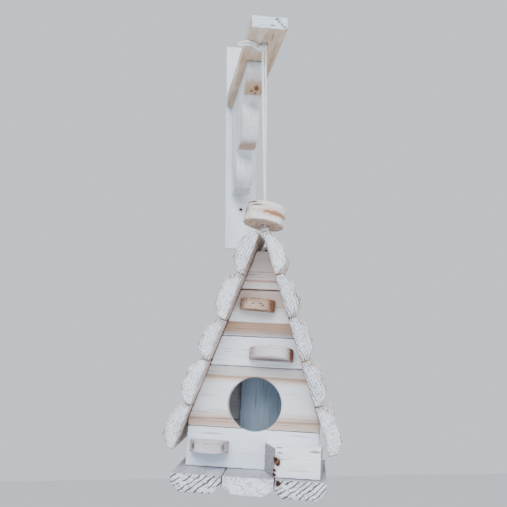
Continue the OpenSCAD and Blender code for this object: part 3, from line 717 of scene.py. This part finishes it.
for k in range(1, 6):
    board = weathered(f"front_board_{k}", front_wood, "house", (RX, RZ, RY),
                      50 + k, voxel=1.0, wave=0.35, rough=0.1)
    mesh = board.data
    co = np.empty(len(mesh.vertices) * 3)
    mesh.vertices.foreach_get("co", co)
    up = (co.reshape(-1, 3) - np.array(front_foot)) @ np.array(RZ)
    mesh.attributes.new("height", "FLOAT", "POINT").data.foreach_set("value", up)

# ---- Roof planks ----
# Ten thick planks that run front to back, five a side, with their outer corners planed off.
# Their ends are painted over pitted end grain and their undersides are bare.

ROOF_PAINT = ("c2bbb8", "d0cbca", "dddadb")
roof_wood = timber("roof_wood", "c9b3a3", "9f8877", ROOF_PAINT, 0.5, softness=0.25, end_paint="e2ebf5",
                   end_dark="6e6a70", pith=(0, 0.02, -0.35), rings=330.0, ring_depth=0.3, pit_depth=0.55,
                   end_amount=0.86, end_wear=0.8, bare_under=-0.0075)
roof_wood_dark = timber("roof_wood_dark", "c4ab99", "93796a", ROOF_PAINT, 0.46, softness=0.25,
                        end_paint="d8e2ee", end_dark="5e585a", pith=(0, 0.06, -0.30), rings=350.0,
                        ring_depth=0.55, pit_depth=0.6, end_amount=0.84, end_wear=0.7, bare_under=-0.0075)
slope = math.radians(19.2)
for side, part in ((-1, "left"), (1, "right")):
    down = house_turn @ Vector((side * math.sin(slope), 0, -math.cos(slope)))
    outward = house_turn @ Vector((side * math.cos(slope), 0, math.sin(slope)))
    for k in range(1, 6):
        pale = (k, side) in ((2, -1), (3, -1), (4, -1), (5, -1), (1, 1), (5, 1))
        weathered(f"roof_plank_{part}_{k}", roof_wood if pale else roof_wood_dark,
                  "house", (HY, down, outward), 60 + 10 * k + side, voxel=1.1, wave=0.9, rough=0.2,
                  soften=1)

# ---- Shelves ----
# Three half-round slices, screwed on from inside: the upper one bare and brown, the middle
# one greyish pink, the lower one grey with dark marks near its ends.

# The upper shelf's second mark, a darker brown strip along its underside, is painted shade.
upper_wood = timber("upper_wood", "b1917a", "86644f", ("9f887b", "b19c90", "c6b5ac"), 0.3, streak=1.0,
                    end_paint="9a7a68", end_dark="5f3e2d", wear=0.15, marks=(
                        ((0.017, 0.0, 0.0), (0.004, 0.03, 0.012), "7d5644", 0.9),
                        ((-0.002, 0.0, -0.0068), (0.02, 0.02, 0.0014), "8a6549", 0.8)))
# The middle shelf's second mark, a dark strip along its underside, is painted shade.
middle_wood = timber("middle_wood", "b8a69c", "947d71", ("aea7ad", "bfb9c1", "d0ccd5"), 0.7,
                     end_paint="a99a99", end_dark="7e6860", wear=0.15, marks=(
                         ((0.0232, 0.0, 0.0), (0.003, 0.02, 0.02), "6b4036", 0.9),
                         ((0.0, 0.0, -0.0075), (0.03, 0.02, 0.0018), "746260", 0.9),
                         ((0.001, 0.004, -0.008), (0.0012, 0.006, 0.006), "4c4340", 0.9)))
lower_wood = timber("lower_wood", "b0a29b", "8b786e", ("a6a1a9", "b6b2bb", "c9c6d0"), 0.7,
                    end_paint="a9a3aa", end_dark="857a79", wear=0.15, marks=(
                        ((-0.0165, 0.0, 0.0), (0.0022, 0.03, 0.0050), "4b3f3f", 0.85),
                        ((0.0165, 0.0, 0.0), (0.0020, 0.03, 0.0050), "55474a", 0.7)))
for node, wood, slot_name, seed in (
        ("upper_shelf", upper_wood, "bare_wood", 130),
        ("middle_shelf", middle_wood, "whitewashed_wood", 131),
        ("lower_shelf", lower_wood, "whitewashed_wood", 132)):
    weathered(node, wood, "house", (RX, RY, RZ), seed, voxel=0.7, wave=0.5, rough=0.15)

# ---- Porch block ----
# A rough block with one slanted side, screwed on from below. Knots break its left front edge.

# Its end faces, the slanted left side and the right side, take grey paint colours: painted shade on the
# left side.
block_wood = timber("block_wood", "c6b5a9", "978377", ("dae1ea", "e8eff8", "f2f6fc"), 0.76, softness=0.2,
                    end_paint="9c9aa4", end_dark="6a6366", end_amount=0.7, wear=0.12, end_wear=0.1, marks=(
                        ((-0.0165, -0.016, 0.001), (0.0045, 0.012, 0.0055), "33160f", 1.0),
                        ((-0.0185, -0.016, 0.0035), (0.0030, 0.012, 0.0035), "2a120d", 1.0),
                        ((-0.0190, -0.015, -0.0080), (0.0024, 0.012, 0.0022), "2e1712", 1.0),
                        ((-0.0190, -0.015, -0.0125), (0.0030, 0.012, 0.0026), "2e1712", 1.0),
                        ((-0.0140, -0.016, 0.0105), (0.0036, 0.010, 0.0009), "6d625e", 0.9),
                        ((-0.0150, -0.012, 0.0155), (0.0040, 0.004, 0.0010), "5d5350", 0.8),
                        ((0.0240, -0.016, 0.0135), (0.0070, 0.006, 0.0016), "7b675c", 0.8)))
weathered("porch_block", block_wood, "house", (HX, HY, HZ), 140, voxel=0.9, wave=0.6,
          rough=0.2)

# ---- Nails and screws ----
# Zinc-plated heads, dulled and spotted with rust, flush with the wood.

steel, tree, shader = new_material("dull_steel")
place = add(tree, "ShaderNodeTexCoord").outputs["Object"]
rust = add(tree, "ShaderNodeTexNoise", {"Vector": place, "Scale": 700.0, "Detail": 4.0}).outputs[0]
scratch = add(tree, "ShaderNodeTexNoise", {"Vector": place, "Scale": 2600.0, "Detail": 2.0}).outputs[0]
spots = fade(tree, rust, 0.5, 0.62)
metal = ramp(tree, scratch, [(0.3, "6c6a67"), (0.7, "96938d")])
tree.links.new(blend_colours(tree, spots, metal, colour("6b4027")), shader.inputs["Base Color"])
tree.links.new(calc(tree, "SUBTRACT", 1.0, spots, clamp=True), shader.inputs["Metallic"])
tree.links.new(calc(tree, "MULTIPLY_ADD", rust, 0.4, 0.3), shader.inputs["Roughness"])
bump = add(tree, "ShaderNodeBump", {"Height": scratch, "Strength": 0.3, "Distance": 0.0002})
tree.links.new(bump.outputs[0], shader.inputs["Normal"])
for node in ("plate_screws", "brace_screws", "roof_nails_left", "roof_nails_right", "base_nails",
             "batten_nails", "shelf_screws"):
    for holder in frame["nodes"][node].material_slots:
        holder.material = steel

# ---- Floor, light and surroundings ----
# A plain pale floor well below the house, a large soft light from the front left, a weaker
# one from the right and a pale sky.

bpy.ops.mesh.primitive_plane_add(size=24, location=(0, 0, -1.6))
floor = bpy.context.object
floor.name = "floor"
floor_paint, tree, shader = new_material("floor_paint")
place = add(tree, "ShaderNodeTexCoord").outputs["Object"]
tone = add(tree, "ShaderNodeTexNoise", {"Vector": place, "Scale": 3.0, "Detail": 3.0}).outputs[0]
tree.links.new(ramp(tree, tone, [(0.3, "e9eaec"), (0.7, "eeeff1")]), shader.inputs["Base Color"])
shader.inputs["Roughness"].default_value = 0.95
floor.data.materials.append(floor_paint)

for name, spot, size, power in (
        ("key", (-0.8, -2.1, 1.6), 2.4, 125.0), ("fill", (1.9, -1.8, 0.3), 2.4, 34.0),
        ("back", (0.6, 2.2, 1.6), 1.8, 18.0)):
    light_data = bpy.data.lights.new(name, "AREA")
    light_data.size = size
    light_data.energy = power
    light = bpy.data.objects.new(name, light_data)
    bpy.context.collection.objects.link(light)
    light.location = spot
    aim = Vector((0, -0.15, -0.2)) - light.location
    light.rotation_euler = aim.to_track_quat("-Z", "Y").to_euler()
world = bpy.data.worlds.new("surroundings")
bpy.context.scene.world = world
world.use_nodes = True
world.node_tree.nodes["Background"].inputs[0].default_value = colour("e2e8f0")
world.node_tree.nodes["Background"].inputs[1].default_value = 1.1
